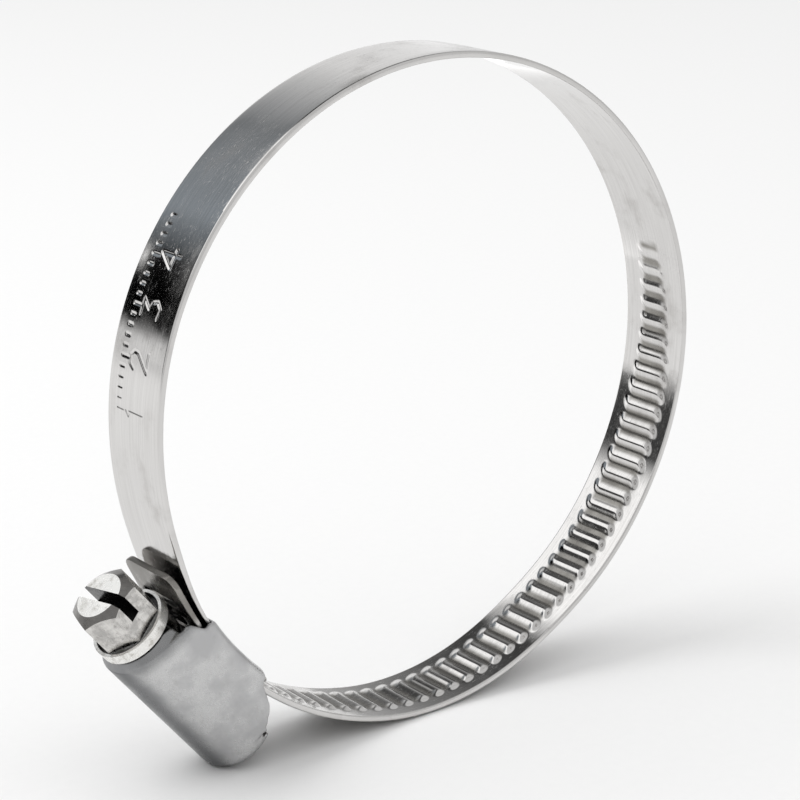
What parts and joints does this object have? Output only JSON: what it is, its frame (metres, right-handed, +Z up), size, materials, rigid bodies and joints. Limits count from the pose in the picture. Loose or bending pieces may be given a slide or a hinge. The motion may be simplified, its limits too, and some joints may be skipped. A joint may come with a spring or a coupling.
{
  "type": "worm-drive hose clamp",
  "caption": "Stainless worm-drive hose clamp: a one-piece toothed band closed into a ring by a slotted hex-head worm screw in a pressed housing, standing on its rim.",
  "frame": {"origin": "centre of the ring, half way across the band's width", "axes": "+Y along the ring's axis, away from the pictured front rim; +Z up with the clamp standing on its rim; the housing is low on the -X side"},
  "size_m": [0.0756, 0.0104, 0.07],
  "materials": {
    "band_steel": "bright rolled stainless strip, mirror-like with faint rolling lines and handling marks",
    "housing_steel": "satin, softly mottled pressed stainless sheet",
    "screw_steel": "turned and tumbled steel with bright worn edges"
  },
  "bodies": {
    "housing": {"housing": "housing_steel"},
    "screw": {"worm_screw": "screw_steel"},
    "rack_tail": {"band_rack_tail": "band_steel"},
    "rack_side": {"band_rack_side": "band_steel"},
    "strap_upper": {"band_strap_upper": "band_steel"},
    "strap_lower": {"band_strap_lower": "band_steel"},
    "strap_end": {"band_strap_end": "band_steel"}
  },
  "joints": [
    {"name": "screw_turn", "type": "hinge", "parent": "housing", "child": "screw", "pos_m": [-0.02994, 0, -0.02468], "axis": [0.6361, 0, -0.7716], "range_deg": [-540, 3420]},
    {"name": "band_feed", "type": "hinge", "parent": "housing", "child": "rack_tail", "pos_m": [0, 0, 0], "axis": [0, 1, 0], "range_deg": [-5.17, 32.76]},
    {"name": "flex_by_rack", "type": "hinge", "parent": "rack_tail", "child": "rack_side", "pos_m": [-0.00154, 0, -0.03521], "axis": [0, -1, 0], "range_deg": [-1.3, 8.21]},
    {"name": "flex_right", "type": "hinge", "parent": "rack_side", "child": "strap_upper", "pos_m": [0.02985, 0, 0.01654], "axis": [0, -1, 0], "range_deg": [-1.32, 8.39]},
    {"name": "flex_top", "type": "hinge", "parent": "strap_upper", "child": "strap_lower", "pos_m": [0.0006, 0, 0.03412], "axis": [0, -1, 0], "range_deg": [-1.45, 9.15]},
    {"name": "flex_by_housing", "type": "hinge", "parent": "strap_lower", "child": "strap_end", "pos_m": [-0.02968, 0, -0.01748], "axis": [0, -1, 0], "range_deg": [-1.11, 7.01]}
  ],
  "couplings": [
    {"joint": "band_feed", "follows": "screw_turn", "ratio": 0.0094829},
    {"joint": "flex_by_rack", "follows": "screw_turn", "ratio": 0.0023755},
    {"joint": "flex_right", "follows": "screw_turn", "ratio": 0.0024295},
    {"joint": "flex_top", "follows": "screw_turn", "ratio": 0.0026495},
    {"joint": "flex_by_housing", "follows": "screw_turn", "ratio": 0.0020284}
  ]
}
